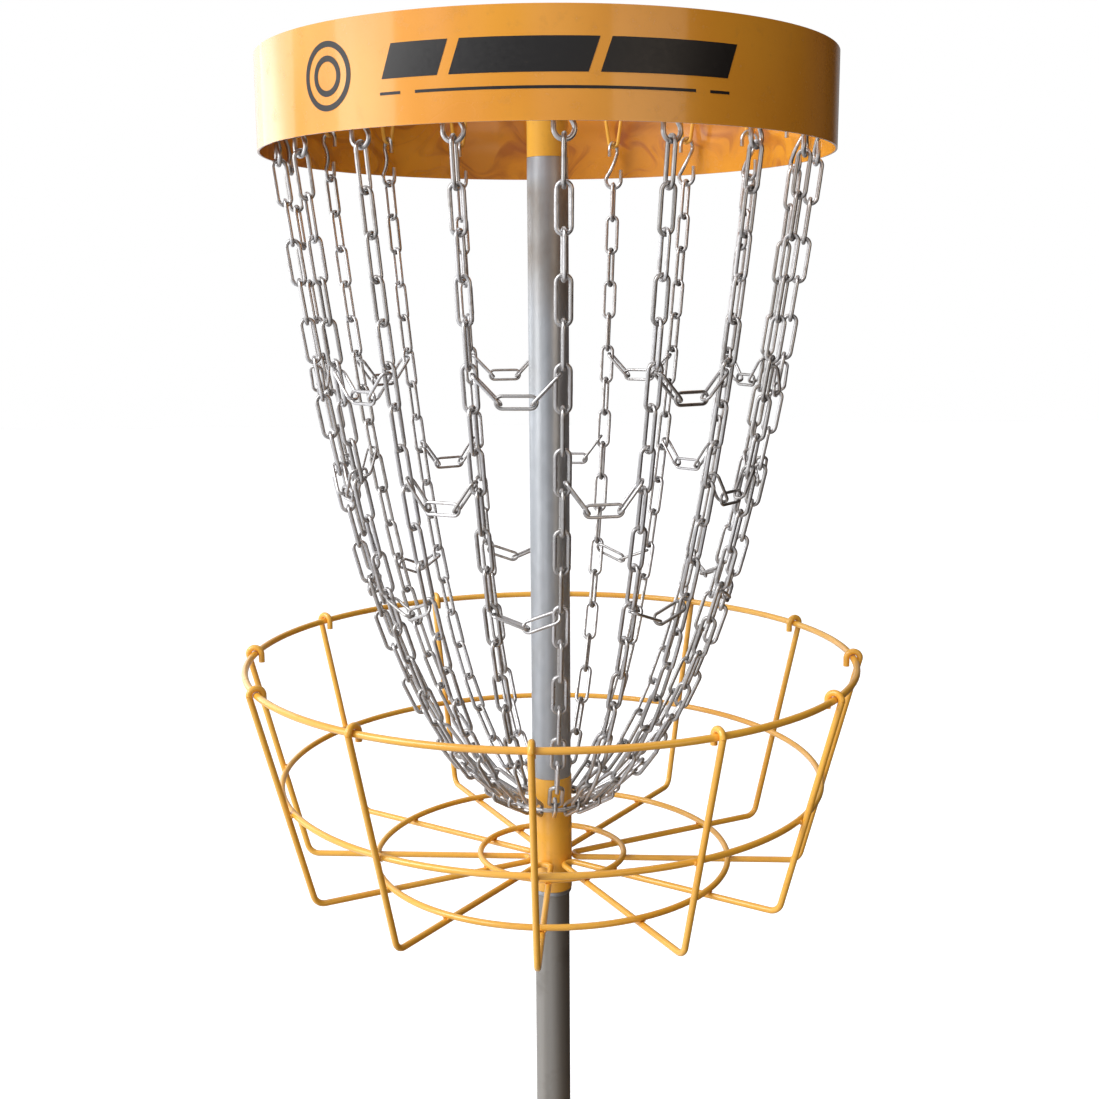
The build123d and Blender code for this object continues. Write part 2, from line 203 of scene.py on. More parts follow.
def link_shape(halves, weld_bump):
    """Round-wire oval link with a weld swelling on one leg, in (length, width, depth).

    Also gives how far round the end each vertex is, where the links get painted shade.
    """
    wire = halves[2]
    bend = halves[1] - wire
    path = oval_path(halves[0] - wire, bend)
    ahead = np.roll(path, -1, axis=0) - np.roll(path, 1, axis=0)
    ahead /= np.linalg.norm(ahead, axis=1)[:, None]
    outward = np.stack([ahead[:, 1], -ahead[:, 0]], axis=1)
    on_leg = path[:, 0] > bend * 0.99    # the leg with the weld, clear of the ends
    swell = np.where(on_leg, weld_bump * np.exp(-((path[:, 1] / wire) ** 2)), 0.0)
    turn = np.arange(LINK_SIDES) * tau / LINK_SIDES
    radius = wire * (1 + swell)
    sideways = (radius[:, None] * np.cos(turn))[..., None]
    flat = path[:, None, :] + outward[:, None, :] * sideways
    depth = wire * np.sin(turn)[None, :] * np.ones(len(path))[:, None]
    points = np.concatenate([flat[..., 1:2], flat[..., 0:1], depth[..., None]], axis=-1)
    leg = halves[0] - wire - bend
    ends = np.clip((np.abs(path[:, 1]) - leg) / bend, 0, 1)
    faces = ring_faces(len(path), LINK_SIDES, True)
    return points.reshape(-1, 3), faces, np.repeat(ends, LINK_SIDES)


def ripple_tube(path, radius, ripples, depth, closed):
    """Weld bead along a path: a round run of small ripples with rounded ends."""
    path = np.array([tuple(point) for point in path])
    count = len(path)
    if closed:
        ahead = np.roll(path, -1, axis=0) - np.roll(path, 1, axis=0)
    else:
        ahead = np.gradient(path, axis=0)
    ahead /= np.linalg.norm(ahead, axis=1)[:, None]
    side = np.cross(ahead, BEAD_GUIDE)
    side /= np.linalg.norm(side, axis=1)[:, None]
    over = np.cross(ahead, side)
    along = np.arange(count) / (count if closed else count - 1)
    swell = 1 + depth * np.cos(tau * ripples * along)
    if not closed:
        swell *= np.sqrt(np.clip(1 - (2 * along - 1) ** 4, BEAD_END, 1))
    turn = (np.arange(BEAD_SIDES) * tau / BEAD_SIDES)[None, :, None]
    rings = side[:, None, :] * np.cos(turn) + over[:, None, :] * np.sin(turn)
    points = path[:, None, :] + (radius * swell)[:, None, None] * rings
    faces = ring_faces(count, BEAD_SIDES, closed)[:, ::-1].tolist()
    if not closed:
        last = (count - 1) * BEAD_SIDES
        faces += [list(range(BEAD_SIDES)), [last + k for k in reversed(range(BEAD_SIDES))]]
    return points.reshape(-1, 3).tolist(), faces


class Beads:
    """Gathers the weld beads or rivets of one body into one piece."""

    LINE_STEPS = 12
    LOOP_STEPS = 60
    LOOP_RIPPLES = 20
    LOOP_DEPTH = 0.10

    def __init__(self):
        self.points = []
        self.faces = []

    def put(self, points, faces):
        """Takes in a part whose faces count its own points."""
        start = len(self.points)
        self.points += points
        self.faces += [[corner + start for corner in face] for face in faces]

    def add(self, path, radius, ripples=3, depth=0.12, closed=False):
        self.put(*ripple_tube(path, radius, ripples, depth, closed))

    def line(self, start, end, radius):
        """A straight bead."""
        steps = self.LINE_STEPS
        self.add([start.lerp(end, step / steps) for step in range(steps + 1)], radius)

    def loop(self, centre, axis, radius, bead):
        """A bead right round a wire or tube."""
        side = axis.orthogonal().normalized()
        over = axis.cross(side)
        path = []
        for step in range(self.LOOP_STEPS):
            turn = tau * step / self.LOOP_STEPS
            path.append(centre + (side * cos(turn) + over * sin(turn)) * radius)
        self.add(path, bead, self.LOOP_RIPPLES, self.LOOP_DEPTH, True)

    def finish(self, name, body, slot):
        new_piece(name, self.points, self.faces, body, slot)


# ---- finishes ---------------------------------------------------------------

class Value:
    """A socket's output, on which arithmetic adds Math nodes."""

    def __init__(self, graph, socket):
        self.graph = graph
        self.socket = socket

    def math(self, operation, first, second):
        return self.graph.node("ShaderNodeMath", {0: first, 1: second}, operation=operation)

    def __add__(self, other):
        return self.math("ADD", self, other)

    def __sub__(self, other):
        return self.math("SUBTRACT", self, other)

    def __rsub__(self, other):
        return self.math("SUBTRACT", other, self)

    def __mul__(self, other):
        return self.math("MULTIPLY", self, other)

    __radd__ = __add__
    __rmul__ = __mul__


class Graph:
    """The nodes of a finish or of the surround, written as expressions."""

    def __init__(self, owner, shader):
        owner.use_nodes = True
        self.tree = owner.node_tree
        self.shader = self.tree.nodes[shader]

    def put(self, socket, value):
        """Links an expression to a socket, or sets the socket to a plain value."""
        if isinstance(value, Value):
            self.tree.links.new(value.socket, socket)
        else:
            socket.default_value = value

    def set(self, **values):
        """Sets or links the shader's sockets, named in lower case with underscores."""
        sockets = {socket.name.lower().replace(" ", "_"): socket for socket in self.shader.inputs}
        for name, value in values.items():
            self.put(sockets[name], value)

    def node(self, kind, inputs=None, output=0, **settings):
        """Adds a node: its settings first, then the values or links of its sockets."""
        made = self.tree.nodes.new(kind)
        for name, setting in settings.items():
            setattr(made, name, setting)
        for key, value in (inputs or {}).items():
            self.put(made.inputs[key], value)
        return Value(self, made.outputs[output])

    def step(self, value, low, high, to_low=0.0, to_high=1.0):
        """Straight ramp of a value from one range to another, held at its ends."""
        inputs = {
            "Value": value, "From Min": low, "From Max": high, "To Min": to_low, "To Max": to_high,
        }
        return self.node("ShaderNodeMapRange", inputs, "Result", clamp=True)

    def blend(self, amount, first, second, **settings):
        """A mix of two colours, which are sockets 6 and 7 of the Mix node."""
        inputs = {"Factor": amount, 6: first, 7: second}
        return self.node("ShaderNodeMix", inputs, 2, data_type="RGBA", **settings)


class Finish(Graph):
    """One material, with the textures that several finishes share."""

    def __init__(self, name):
        self.material = bpy.data.materials.new(name)
        super().__init__(self.material, "Principled BSDF")

    def spot(self):
        """Place on the piece, in metres."""
        return self.node("ShaderNodeTexCoord", output="Object")

    def place(self, stretch):
        return self.node("ShaderNodeMapping", {"Vector": self.spot(), "Scale": stretch})

    def noise(self, scale, detail=3.0, rough=0.5, stretch=(1, 1, 1)):
        spot = self.place(stretch)
        inputs = {"Vector": spot, "Scale": scale, "Detail": detail, "Roughness": rough}
        return self.node("ShaderNodeTexNoise", inputs, "Fac")

    def cells(self, scale, stretch=(1, 1, 1), output="Distance", **settings):
        inputs = {"Vector": self.place(stretch), "Scale": scale}
        return self.node("ShaderNodeTexVoronoi", inputs, output, **settings)

    def height(self):
        return self.node("ShaderNodeSeparateXYZ", {"Vector": self.spot()}, "Z")

    def bump(self, relief, depth, strength):
        inputs = {"Height": relief, "Distance": depth, "Strength": strength}
        self.set(normal=self.node("ShaderNodeBump", inputs, "Normal"))


def rgb(red, green, blue):
    """Linear colour from the 0 to 255 values of a paint chip."""
    def linear(value):
        value /= 255
        return value / 12.92 if value <= 0.04045 else ((value + 0.055) / 1.055) ** 2.4
    return (linear(red), linear(green), linear(blue), 1.0)


COAT_DUST = rgb(182, 128, 56)
COAT_CHIP = rgb(130, 96, 50)
# painted shade colour for the band's inner face
PAINTED_SHADE_BROWN = rgb(164, 80, 22)
ZINC_DULL, ZINC_BRIGHT = rgb(182, 180, 178), rgb(218, 217, 218)
# the second colour on the next line is painted shade for the ends of chain links, and the colour
# of random dark patches on the hardware
ZINC_WARM, ZINC_SHADE_AND_PATCH = rgb(150, 142, 134), rgb(96, 90, 84)
DIP_DARK, DIP_LIGHT = rgb(160, 164, 168), rgb(202, 206, 211)
DIP_STAIN, DIP_SMUDGE = rgb(158, 152, 142), rgb(126, 108, 84)
GREY_DARK, GREY_LIGHT, GREY_WORN = rgb(130, 127, 123), rgb(160, 156, 149), rgb(100, 94, 86)
RUBBER_BLACK, RUBBER_SCUFF = rgb(26, 26, 27), rgb(70, 68, 66)
INK_BLACK, INK_WORN = rgb(22, 20, 20), rgb(60, 46, 30)
SMUDGE_START, SMUDGE_FULL = 165 * MM, 95 * MM      # under the upper tube's top
SMUDGE_FADE, SMUDGE_END = 36 * MM, 18 * MM


def powder_coat(name, light, deep, roughness, peel, inside=None):
    """Glossy powder coat: orange peel, faint tone drift, dust and small nicks.

    Faces within the radius named as inside get painted shade: long dark strokes for painted
    shadows of the hangers and chains, over clouds of darker painted shade.
    """
    coat = Finish(name)
    drift = coat.noise(9, 2, 0.4)
    grime = coat.step(coat.noise(70, 5, 0.65), 0.56, 0.78, 0, 0.3)
    nicks = coat.step(coat.cells(240), 0.05, 0.09, 1, 0)
    chipped = nicks * coat.step(coat.noise(26, 2, 0.5), 0.62, 0.70)
    base = coat.blend(coat.step(drift, 0.3, 0.7), light, deep)
    dusty = coat.blend(grime, base, COAT_DUST)
    worn = coat.blend(chipped * 0.6, dusty, COAT_CHIP)
    rough = coat.step(drift, 0.2, 0.8, roughness, roughness + 0.1) + grime * 0.25
    relief = coat.noise(420, 2, 0.5) * peel - chipped * 0.4
    if inside:
        # painted shade on the band's inner face: strokes for the shadows of the hangers and
        # chains, over darker clouds
        inner_shade = painted_inner_shade(coat, inside)
        # from here worn also carries that painted shade
        worn = coat.blend(inner_shade, worn, PAINTED_SHADE_BROWN)
        rough = rough + inner_shade * 0.12
    coat.set(base_color=worn, roughness=rough)
    coat.set(coat_weight=coat.step(grime, 0, 0.3, 0.6, 0.25), coat_roughness=0.08)
    coat.bump(relief, 0.4 * MM, 0.3)
    return coat.material


def painted_inner_shade(coat, radius):
    """Painted shade on the faces inside a radius: long slanting strokes for painted shadows, over
    clouds of painted shade.
    """
    spot = coat.spot()
    flat = coat.node("ShaderNodeVectorMath", {0: spot, 1: (1, 1, 0)}, operation="MULTIPLY")
    reach = coat.node("ShaderNodeVectorMath", {0: flat}, "Value", operation="LENGTH")
    within = coat.step(reach, radius - 0.1 * MM, radius + 0.1 * MM, 1, 0)
    twist = coat.noise(5, 2, 0.5)
    bent = coat.node("ShaderNodeVectorMath", {0: spot, 1: twist}, operation="ADD")
    slant = {"Vector": bent, "Rotation": (0.5, 0.3, 0), "Scale": (1, 1, 2.6)}
    long_way = coat.node("ShaderNodeMapping", slant)
    strokes = {"Vector": long_way, "Scale": 13.0, "Detail": 4.0, "Distortion": 0.5}
    lines = coat.node("ShaderNodeTexNoise", strokes, "Fac")
    clouds = coat.noise(7, 3, 0.5)
    return within * (coat.step(lines, 0.5, 0.68) * 0.55 + coat.step(clouds, 0.4, 0.66) * 0.4)


def bright_zinc(name, channels):
    """Bright zinc plate on wire: uneven sheen, dull spots, and painted shade at the ends of the
    links, where they meet.

    With channels, each link's tone and its painted end shade come from its piece; without them,
    random dark patches take the place of that shade.
    """
    zinc = Finish(name)
    patches = zinc.noise(110, 3, 0.5)
    specks = zinc.noise(520, 2, 0.5)
    if channels:
        tone = zinc.node("ShaderNodeAttribute", output="Fac", attribute_name="tone")
        # painted shade: darker towards each link's ends, where the links meet
        end_shade_and_patches = zinc.node("ShaderNodeAttribute", output="Fac", attribute_name="end_shade_and_patches")
    else:
        tone = zinc.noise(30, 1, 0.5)
        end_shade_and_patches = zinc.step(patches, 0.5, 0.8)
    bright = zinc.blend(tone, ZINC_DULL, ZINC_BRIGHT)
    warm = zinc.blend(zinc.step(patches, 0.55, 0.72, 0, 0.5), bright, ZINC_WARM)
    # painted shade at the link ends, broken up by specks
    shade_amount = zinc.step(end_shade_and_patches * zinc.step(specks, 0.35, 0.6), 0.2, 1, 0, 0.4)
    zinc.set(base_color=zinc.blend(shade_amount, warm, ZINC_SHADE_AND_PATCH), metallic=1.0)
    zinc.set(roughness=zinc.step(patches, 0.3, 0.75, 0.26, 0.38) + end_shade_and_patches * 0.05)
    zinc.bump(patches * 0.9 + specks * 0.1, 0.2 * MM, 0.08)
    return zinc.material


def galvanised(name):
    """Zinc-dipped tube: soft spangle, long runs down the tube and a brown smudge."""
    skin = Finish(name)
    spangle = skin.cells(120, (1, 1, 0.6), "Color", feature="SMOOTH_F1")
    grey = skin.node("ShaderNodeSeparateColor", {"Color": spangle}, "Red")
    runs = skin.noise(24, 4, 0.55, (1, 1, 0.1))
    cloud = skin.noise(14, 3, 0.5, (1, 1, 0.5))
    base = skin.blend(grey * 0.25 + runs * 0.75, DIP_DARK, DIP_LIGHT)
    stained = skin.blend(skin.step(cloud, 0.54, 0.72, 0, 0.35), base, DIP_STAIN)
    top = span("upper_tube")[1].z
    fade_in = skin.step(skin.height(), top - SMUDGE_START, top - SMUDGE_FULL)
    fade_out = skin.step(skin.height(), top - SMUDGE_FADE, top - SMUDGE_END, 1, 0)
    blotch = skin.step(skin.noise(17, 4, 0.6, (1, 1, 0.6)), 0.3, 0.62, 0.35, 1)
    smudge = fade_in * fade_out * blotch
    skin.set(base_color=skin.blend(smudge * 0.8, stained, DIP_SMUDGE))
    skin.set(metallic=skin.step(smudge, 0, 1, 0.8, 0.55))
    skin.set(roughness=skin.step(runs * 0.4 + cloud * 0.6, 0.2, 0.8, 0.32, 0.46) + smudge * 0.1)
    skin.bump(runs * 0.5 + skin.noise(300, 3, 0.6) * 0.5, 0.3 * MM, 0.2)
    return skin.material


def grey_paint(name):
    """Satin grey tube, brushed by handling along its length."""
    paint = Finish(name)
    streaks = paint.noise(60, 4, 0.6, (1, 1, 0.05))
    worn = paint.noise(18, 4, 0.6)
    base = paint.blend(streaks, GREY_DARK, GREY_LIGHT)
    paint.set(base_color=paint.blend(paint.step(worn, 0.55, 0.75, 0, 0.5), base, GREY_WORN))
    paint.set(metallic=0.55, roughness=paint.step(streaks, 0.3, 0.7, 0.34, 0.5))
    paint.bump(streaks * 0.6 + paint.noise(500, 2, 0.5) * 0.4, 0.2 * MM, 0.3)
    return paint.material


def foot_rubber(name):
    """Black rubber with a fine moulded grain and grey scuffs."""
    rubber = Finish(name)
    grain = rubber.noise(1300, 3, 0.7)
    scuff = rubber.step(rubber.noise(120, 4, 0.6, (1, 1, 3)), 0.55, 0.75)
    rubber.set(base_color=rubber.blend(scuff * 0.6, RUBBER_BLACK, RUBBER_SCUFF))
    rubber.set(roughness=rubber.step(grain, 0.3, 0.7, 0.62, 0.82))
    rubber.bump(grain, 0.3 * MM, 0.4)
    return rubber.material


def print_ink(name):
    """Black screen print, slightly worn and less glossy than the coat under it."""
    ink = Finish(name)
    worn = ink.noise(260, 5, 0.7)
    ink.set(base_color=ink.blend(ink.step(worn, 0.6, 0.85, 0, 0.5), INK_BLACK, INK_WORN))
    ink.set(roughness=ink.step(worn, 0.3, 0.7, 0.3, 0.48))
    ink.bump(worn, 0.1 * MM, 0.2)
    return ink.material


# ---- chains and welds ---------------------------------------------------------

CROSSING_STEPS = 1440
RING_REACH, HOOP_REACH = 2.2, 1.8      # how near a crossing wire comes, in half wires
RING_BEAD = 0.42                       # in half wires
LOOK_ASIDE = 2.5                       # in half wires, to each side of a crossing
LEAST_CROSSING = 0.05                  # under this, the wires run side by side
CROSS_GAP = 2 * MM
CROSS_HALF_RUN = 0.8                   # in half wires
CROSS_OFFSET = 0.9                     # in half wires
HUB_STEPS = 720
HUB_REACH = 1.6 * MM
HUB_BEAD = 1.3 * MM
HUB_BEAD_RISE = 2.2 * MM
HUB_BEAD_PROUD = 0.4 * MM
HUB_BEAD_OVERRUN = 0.05                # in radians
HUB_BEAD_POINTS = 17
HUB_BEAD_RIPPLES = 6
SPOKE_TIP = 4 * MM
SPOKE_BEAD = 1.2 * MM
SPOKE_LOOP = 4.5 * MM
SPOKE_LOOP_INSIDE_BAND = 2.6 * MM
HANGER_BEAD = 1.1 * MM
TUBE_BEAD_PROUD = 0.6 * MM
BASE_BEAD = 2.2 * MM
WELD_BUMP, WELD_BUMP_MORE = 0.10, 0.06


def bright_links(node):
    """Detailed links in the place of every plain link of one node."""
    points, faces, tones, end_shades = [], [], [], []
    start = 0
    for triangles in islands(node):
        centre, axes, halves = placing(triangles)
        shape, quads, ends = link_shape(halves, WELD_BUMP + WELD_BUMP_MORE * RNG.random())
        if RNG.random() < 0.5:
            shape = shape * np.array([1, -1, 1])
            quads = quads[:, ::-1]
        axes[2] = np.cross(axes[0], axes[1])
        points.append(centre + shape @ axes)
        faces.append(quads + start)
        tones.append(np.full(len(shape), RNG.random()))
        end_shades.append(ends)
        start += len(shape)
    points, faces = np.concatenate(points), np.concatenate(faces)
    piece = new_piece(f"links_{node}", points, faces, BODY_OF[node], "zinc_chain")
    add_channel(piece, "tone", np.concatenate(tones))
    # painted shade at each link's ends, read by the zinc finish
    add_channel(piece, "end_shade_and_patches", np.concatenate(end_shades))
    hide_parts(node)


def dress_chains():
    """Detailed links for every strand, always in the same order."""
    for node in sorted(NODES):
        if node.startswith("chain_"):
            bright_links(node)


def crossings(ring, tree, limit):
    """Turns at which a wire of another node passes nearest to a ring."""
    gaps = []
    for step in range(CROSSING_STEPS):
        turn = tau * step / CROSSING_STEPS
        found = tree.find_nearest(around(ring.radius, ring.height, turn), limit)
        gaps.append(found[3] if found[0] is not None else limit)
    turns = []
    for step, gap in enumerate(gaps):
        if gap < limit and gap <= gaps[step - 1] and gap < gaps[(step + 1) % CROSSING_STEPS]:
            turns.append(tau * step / CROSSING_STEPS)
    return turns


def cross_weld(beads, ring, tree, turn, bead):
    """Two short beads in the corners between a ring and the wire that crosses it."""
    radius, height, wire = ring
    middle = around(radius, height, turn)
    contact, _, _, gap = tree.find_nearest(middle)
    aside = LOOK_ASIDE * wire / radius
    before = tree.find_nearest(around(radius, height, turn - aside))
    after = tree.find_nearest(around(radius, height, turn + aside))
    wire_axis = before[1].cross(after[1])
    if wire_axis.length < LEAST_CROSSING or gap > wire + CROSS_GAP:
        return
    wire_axis.normalize()
    across = Vector((cos(turn), sin(turn), 0))
    side = (across - wire_axis * across.dot(wire_axis)).normalized()
    seat = middle + (contact - middle).normalized() * wire
    half_run = wire_axis * wire * CROSS_HALF_RUN
    for hand in (-1, 1):
        corner = seat + side * hand * wire * CROSS_OFFSET
        beads.line(corner - half_run, corner + half_run, bead)


def hub_weld(beads, tree, hub, height):
    """A bead above and one below each place where an arm runs round the hub."""
    touching = []
    for step in range(HUB_STEPS):
        turn = tau * step / HUB_STEPS
        found = tree.find_nearest(around(hub, height, turn), HUB_REACH)
        if found[0] is not None:
            touching.append((turn, found[0].z))
    if not touching:
        return
    turns = np.unwrap([turn for turn, _ in touching])
    first, last = turns.min() - HUB_BEAD_OVERRUN, turns.max() + HUB_BEAD_OVERRUN
    arc = np.linspace(first, last, HUB_BEAD_POINTS)
    for rise in (-HUB_BEAD_RISE, HUB_BEAD_RISE):
        level = touching[0][1] + rise
        path = [around(hub + HUB_BEAD_PROUD, level, turn) for turn in arc]
        beads.add(path, HUB_BEAD, HUB_BEAD_RIPPLES)


def dress_basket():
    """Welds where the basket's wires cross its rings and meet the hub."""
    beads = Beads()
    arms = sorted(node for node in NODES if node.startswith("arm_pair_"))
    rings = [ring_size(shell) for node in ("mid_ring", "floor_rings") for shell in islands(node)]
    hub = outer_radius("hub_sleeve")
    for arm in arms:
        tree = surface_tree(arm)
        for ring in rings:
            for turn in crossings(ring, tree, ring.wire * RING_REACH):
                cross_weld(beads, ring, tree, turn, ring.wire * RING_BEAD)
        hub_weld(beads, tree, hub, rings[-1].height)
    beads.finish("welds_basket", "basket", "yellow_coat")


def dress_head():
    """Welds of the head's spokes, hoop and wire hangers."""
    beads = Beads()
    hoop = ring_size(islands("hanger_hoop")[0])
    for node in ("head_spokes", "v_hangers"):
        tree = surface_tree(node)
        for turn in crossings(hoop, tree, hoop.wire * HOOP_REACH):
            cross_weld(beads, hoop, tree, turn, HANGER_BEAD)
    band, mast = outer_radius("band"), outer_radius("head_tube")
    for shell in islands("head_spokes"):
        corners = shell.reshape(-1, 3)
        reach = np.hypot(corners[:, 0], corners[:, 1])
        far = Vector(corners[reach > reach.max() - SPOKE_TIP].mean(axis=0))
        near = Vector(corners[reach < reach.min() + SPOKE_TIP].mean(axis=0))
        axis = Vector((far.x, far.y, 0)).normalized()
        at_band = axis * (band - SPOKE_LOOP_INSIDE_BAND) + UP * far.z
        at_mast = axis * (mast + TUBE_BEAD_PROUD) + UP * near.z
        for place in (at_band, at_mast):
            beads.loop(place, axis, SPOKE_LOOP, SPOKE_BEAD)
    beads.finish("welds_head", "head", "yellow_coat")


def dress_base():
    """Welds where the base's spokes meet the socket and the ring, and under the collar."""
    beads = Beads()
    socket = outer_radius("base_socket")
    ring = ring_size(islands("base_ring")[0])
    for shell in islands("base_spokes"):
        corners = shell.reshape(-1, 3)
        middle = corners.mean(axis=0)
        low, high = corners[:, 2].min(), corners[:, 2].max()
        thick = (high - low) / 2
        axis = Vector((middle[0], middle[1], 0)).normalized()
        lift = UP * ((high + low) / 2)
        beads.loop(axis * (socket - 0.5 * MM) + lift, axis, thick + 0.5 * MM, BASE_BEAD)
        inner = ring.radius - sqrt(ring.wire ** 2 - (thick * 0.7) ** 2)    # of the ring's wall
        beads.loop(axis * inner + lift, axis, thick + 0.3 * MM, BASE_BEAD)
    beads.finish("welds_base", "base", SLOT_OF["base_ring"])
    collar = Beads()
    bottom = span("stop_ring")[0].z
    collar.loop(UP * bottom, UP, outer_radius("lower_tube") + TUBE_BEAD_PROUD, SPOKE_BEAD)
    collar.finish("weld_stop", BODY_OF["stop_ring"], "galvanised_tube")


# ---- band -------------------------------------------------------------------

PRINT_LIFT = 0.2 * MM
DISC_STEPS = 48
DISC_SPOT = (-210, 46)
DISC_RINGS = {"print_disc_outer": (29, 24), "print_disc_inner": (17, 12)}
BAR = (38, 66, 0.35)       # bottom, top, lean
LINE = (25, 27.4, 0)
STRIPES = {                # ends along the band from the front, then the kind of stripe
    "print_bar_1": (-148, -96, BAR),
    "print_bar_2": (-86, 30, BAR),
    "print_bar_3": (40, 156, BAR),
    "print_line": (-116, 124, LINE),
    "print_dash_1": (-150, -130, LINE),
    "print_dash_2": (138, 158, LINE),
}
STRIPE_STEP = 4            # millimetres
STRIPE_LEAST_STEPS = 3
SEAM_COLUMNS = 9
SEAM_WIDTH = 34 * MM
SEAM_LIFT = 0.9 * MM
SEAM_INSET = 0.4 * MM
RIVET_SIZE = 4.2 * MM
RIVET_SEAT = 0.8 * MM
RIVET_SIDES = 16
RIVET_SHIFT = 9 * MM
RIVET_LEVELS = (0.2, 0.5, 0.8)
RIVET_PROFILE = [(1.0, 0.0), (1.0, 0.1), (0.93, 0.24), (0.72, 0.40), (0.42, 0.51), (0.16, 0.55)]


def band_sizes():
    """Outer radius, bottom and top of the band."""
    low, high = span("band")
    return high.x, low.z, high.z


def on_band(arc, level):
    """A point of the print, in millimetres along the band from the front and up it."""
    radius, bottom, _ = band_sizes()
    return around(radius + PRINT_LIFT, bottom + level * MM, arc * MM / radius)


def stripe(name, start, end, kind):
    """Printed bar on the band, leaning where its kind does."""
    bottom, top, lean = kind
    columns = max(STRIPE_LEAST_STEPS, int((end - start) / STRIPE_STEP))
    points = []
    for level in (bottom, top):
        for column in range(columns + 1):
            arc = start + (end - start) * column / columns + lean * (level - bottom)
            points.append(on_band(arc, level))
    faces = [(c, c + 1, columns + 2 + c, columns + 1 + c) for c in range(columns)]
    new_piece(name, points, faces, "head", "band_coat", "ink")


def disc_ring(name, outer, inner):
    """Printed flat ring, wrapped on the band."""
    arc, level = DISC_SPOT
    steps = DISC_STEPS
    points = []
    for reach in (outer, inner):
        for step in range(steps):
            turn = tau * step / steps
            points.append(on_band(arc + reach * cos(turn), level + reach * sin(turn)))
    faces = [(k, (k + 1) % steps, steps + (k + 1) % steps, steps + k) for k in range(steps)]
    new_piece(name, points, faces, "head", "band_coat", "ink")


def rivet(beads, centre, out):
    """Domed rivet head with a low collar."""
    side = out.orthogonal().normalized()
    over = out.cross(side)
    points = []
    for reach, rise in RIVET_PROFILE:
        for k in range(RIVET_SIDES):
            turn = tau * k / RIVET_SIDES
            spoke = side * cos(turn) + over * sin(turn)
            points.append(tuple(centre + spoke * reach * RIVET_SIZE + out * rise * RIVET_SIZE))
    faces = ring_faces(len(RIVET_PROFILE), RIVET_SIDES, False).tolist()
    crown = (len(RIVET_PROFILE) - 1) * RIVET_SIDES
    faces.append([crown + k for k in range(RIVET_SIDES)])
    beads.put(points, faces)


def seam_lap(radius, bottom, top):
    """The band's outer end, lapped over the inner one at the back as a thin raised strip."""
    low, high = bottom + SEAM_INSET, top - SEAM_INSET
    rows = [(0, low), (SEAM_LIFT, low), (SEAM_LIFT, high), (0, high)]
    last = SEAM_COLUMNS - 1
    points = []
    for lift, level in rows:
        for column in range(SEAM_COLUMNS):
            turn = pi + (column / last - 0.5) * SEAM_WIDTH / radius
            points.append(around(radius + lift, level, turn))
    faces = []
    for row in range(len(rows) - 1):
        first = row * SEAM_COLUMNS
        second = first + SEAM_COLUMNS
        faces += [(first + c, first + c + 1, second + c + 1, second + c) for c in range(last)]
    faces += [[row * SEAM_COLUMNS + column for row in range(len(rows))] for column in (0, last)]
    new_piece("seam_lap", points, faces, "head", "band_coat", smooth=False)


def dress_band():
    """Generic print at the front, and the lap seam with its rivets at the back."""
    for name, (outer, inner) in DISC_RINGS.items():
        disc_ring(name, outer, inner)
    for name, (start, end, kind) in STRIPES.items():
        stripe(name, start, end, kind)
    radius, bottom, top = band_sizes()
    seam_lap(radius, bottom, top)
    rivets = Beads()
    for shift in (-RIVET_SHIFT, RIVET_SHIFT):
        for level in RIVET_LEVELS:
            turn = pi + shift / radius
            centre = around(radius + RIVET_SEAT, bottom + (top - bottom) * level, turn)
            rivet(rivets, centre, around(1, 0, turn))
    rivets.finish("rivets_band", "head", "band_coat")


def dress_frame_nodes():
    """Each node of the frame in its own slot's finish."""
    for node, slot in SLOT_OF.items():
        materials = NODES[node].data.materials
        materials.clear()
        materials.append(FINISHES[slot])


# ---- studio -----------------------------------------------------------------

CAMERA_PLACE = (-0.0202, -1.4757, 0.3811)    # the height is over the rim's
CAMERA_HEADING, CAMERA_TILT, CAMERA_ROLL = radians(0.7595), radians(10.132), radians(-0.3839)
CAMERA_SENSOR = 36
CAMERA_LENS = 45.86
WHITE = (1, 1, 1, 1)
SKY_LEFT, SKY_RIGHT = (1.15, 1.16, 1.2, 1), (0.05, 0.036, 0.028, 1)
FLAG_DARK, FLAG_LIGHT = (0.3, 0.295, 0.29, 1), (1.2, 1.2, 1.2, 1)
KEY_TOWARD = (0.75, 0.42, -0.62)
KEY_POWER, KEY_SPREAD = 1.7, 35
AREA_LIGHTS = {            # place, height on the mast that it faces, size, power, colour
    "window": ((-2.5, -1.0, 1.5), 1.0, (1.2, 1.8), 16, (1.0, 0.98, 0.95)),
    "edge": ((-2.3, 1.5, 1.6), 1.0, (1.6, 2.0), 15, (0.97, 0.99, 1.0)),
    "fill": ((1.7, -2.4, 1.3), 1.0, (1.4, 1.4), 9, (1.0, 0.84, 0.68)),
    "top": ((0.1, 0.6, 3.2), 0.8, (1.6, 1.6), 8, (1, 1, 1)),
}
FLOOR_REACH = 12.0
FLOOR_DARK, FLOOR_LIGHT = (0.93, 0.93, 0.93, 1), (0.96, 0.96, 0.96, 1)
FLOOR_GLOW = 0.36


def stand(name, data):
    """An object of the studio, put in the scene."""
    made = bpy.data.objects.new(name, data)
    bpy.context.collection.objects.link(made)
    return made


